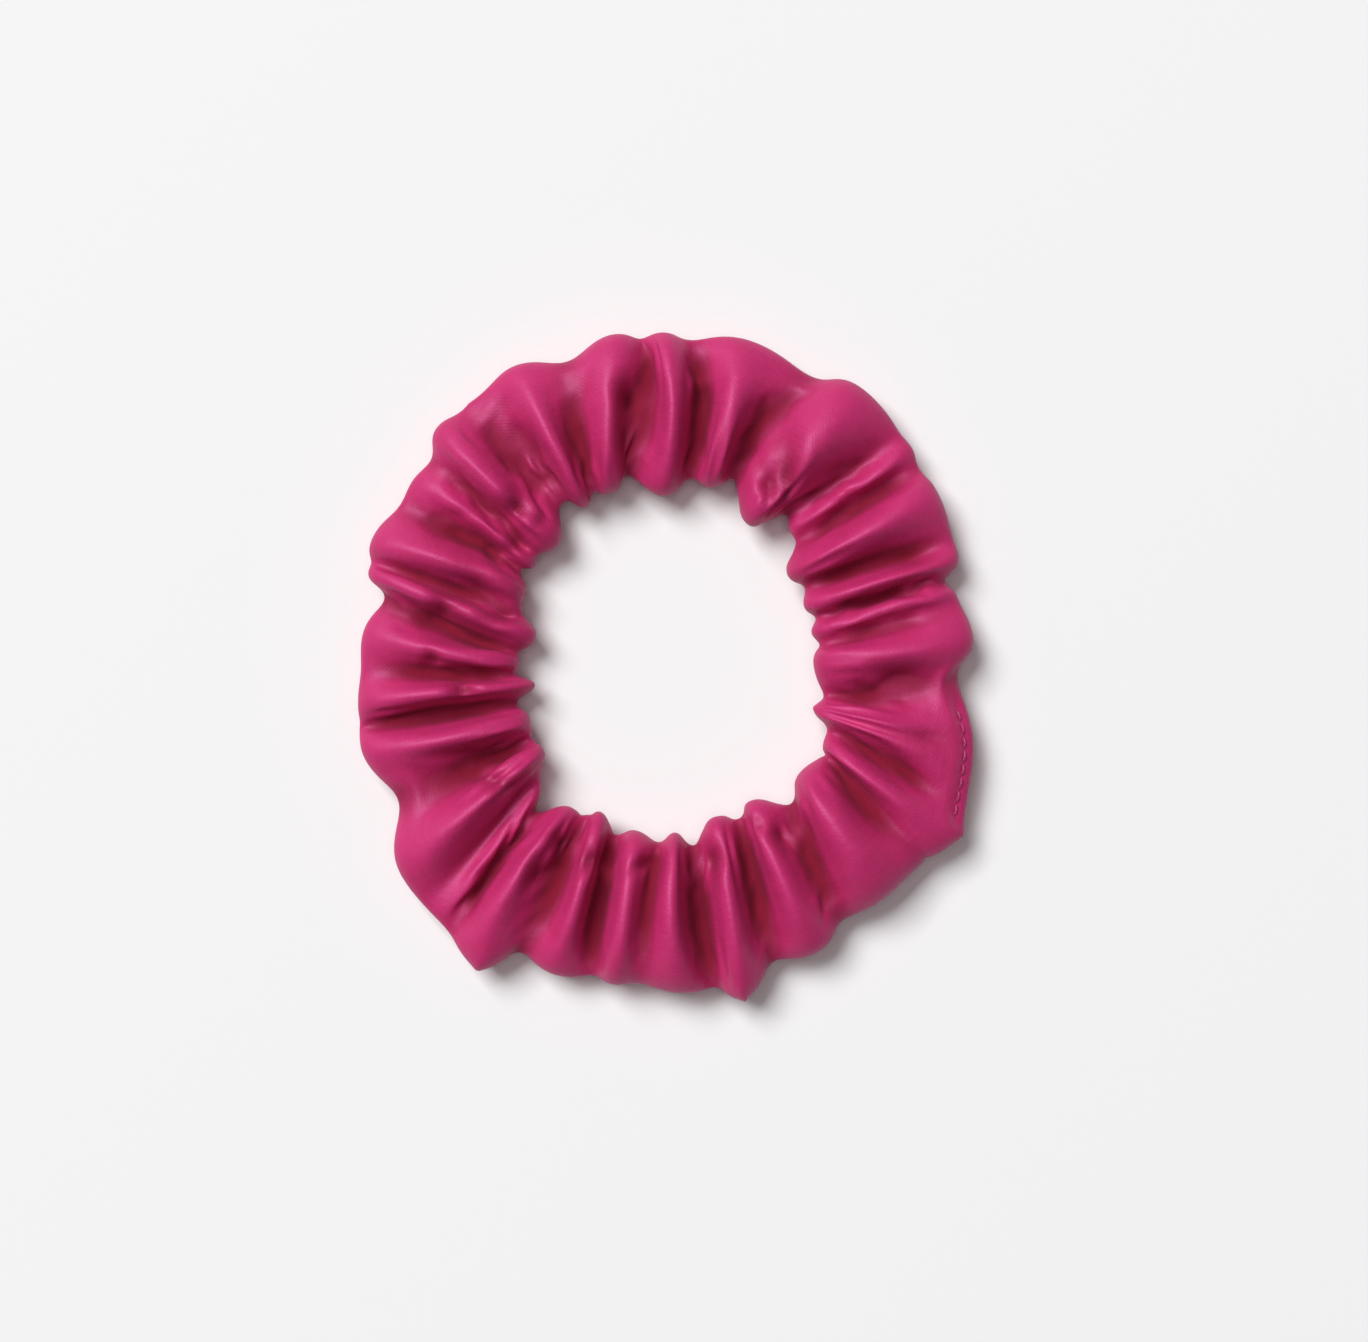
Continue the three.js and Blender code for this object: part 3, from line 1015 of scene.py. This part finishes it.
def thread():
    """Magenta sewing thread, twisted."""
    material, shader = principled("thread")
    tree = material.node_tree
    where = tree.nodes.new("ShaderNodeTexCoord").outputs["Object"]
    ply = add_node(tree, "ShaderNodeTexWave", Scale=900.0, Distortion=2.0)
    ply.bands_direction = "DIAGONAL"
    tree.links.new(where, ply.inputs["Vector"])
    tone = mixed_colour(tree, ply.outputs["Fac"], THREAD_DARK, THREAD_LIGHT)
    tree.links.new(tone, shader.inputs["Base Color"])
    tree.links.new(bump(tree, ply.outputs["Fac"], PLY), shader.inputs["Normal"])
    shader.inputs["Roughness"].default_value = THREAD_ROUGHNESS
    return material


# ---------------------------------------------------------------- stage

# The floor's half side, in metres. Lights: the world's strength, and for each area light its place, size and
# watts. The key light is high at the upper left, and the top light is right above the ring.
FLOOR_HALF = 3.0
WORLD = 0.06
KEY_AT = (-2.8, 2.8, 5.8)
KEY_SIZE = 3.4
KEY = 495.0
TOP_AT = (0.0, 0.0, 6.4)
TOP_SIZE = 3.2
TOP = 70.0

# The camera looks straight down on a stretch CAMERA_VIEW metres wide, centred on CAMERA_OVER, measured at the
# height CAMERA_FOCUS.
CAMERA_VIEW = 0.2105
CAMERA_OVER = (0.0029, -0.0012)
CAMERA_FOCUS = 0.006
LENS = 85
SENSOR = 36


def make_stage():
    """The plain pale floor."""
    floor = square("floor", FLOOR_HALF)
    material, shader = principled("floor")
    shader.inputs["Base Color"].default_value = FLOOR_COLOUR
    shader.inputs["Roughness"].default_value = FLOOR_ROUGHNESS
    floor.data.materials.append(material)


def area_light(name, place, size, watts):
    """A square light that shines on the middle of the floor."""
    data = bpy.data.lights.new(name, "AREA")
    data.shape = "SQUARE"
    data.size = size
    data.energy = watts
    light = placed(name, data)
    light.location = place
    light.rotation_mode = "QUATERNION"
    light.rotation_quaternion = (Vector((0, 0, 0)) - Vector(place)).to_track_quat("-Z", "Y")


def make_lights():
    """Soft studio light: a dim white world and two large area lights."""
    world = bpy.data.worlds.new("world")
    bpy.context.scene.world = world
    world.use_nodes = True
    background = world.node_tree.nodes["Background"]
    background.inputs["Color"].default_value = WHITE
    background.inputs["Strength"].default_value = WORLD
    area_light("key", KEY_AT, KEY_SIZE, KEY)
    area_light("top", TOP_AT, TOP_SIZE, TOP)


def make_camera():
    """The camera straight above."""
    data = bpy.data.cameras.new("camera")
    data.lens = LENS
    data.sensor_width = SENSOR
    camera = placed("camera", data)
    camera.location = (*CAMERA_OVER, CAMERA_FOCUS + CAMERA_VIEW * LENS / SENSOR)
    bpy.context.scene.camera = camera
    bpy.context.scene.view_settings.view_transform = "Standard"


make_camera()
make_stage()
make_lights()
sleeve, grid = make_sleeve()
elastic = make_elastic()
elastic_join = make_elastic_join()
long_seam = make_long_seam(grid)
cross_seam = make_cross_seam(grid)
topstitch = make_closing_stitches(grid)

satin_material, braid_material, thread_material = satin(), braid(), thread()
for piece, material, slot, stands_for in (
    (sleeve, satin_material, "satin", ["sleeve_seam_end", "sleeve_far_end"]),
    (elastic, braid_material, "elastic", ["elastic_lower_end", "elastic_upper_end", "elastic_far_end"]),
    (elastic_join, thread_material, "thread", ["elastic_join_stitches"]),
    (
        long_seam,
        thread_material,
        "thread",
        ["long_seam_stitches_lower", "long_seam_stitches_upper", "long_seam_stitches_far"],
    ),
    (cross_seam, thread_material, "thread", ["cross_seam_stitches"]),
    (topstitch, thread_material, "thread", ["closing_topstitch"]),
):
    piece.data.materials.append(material)
    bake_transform(piece)
    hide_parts(*stands_for)
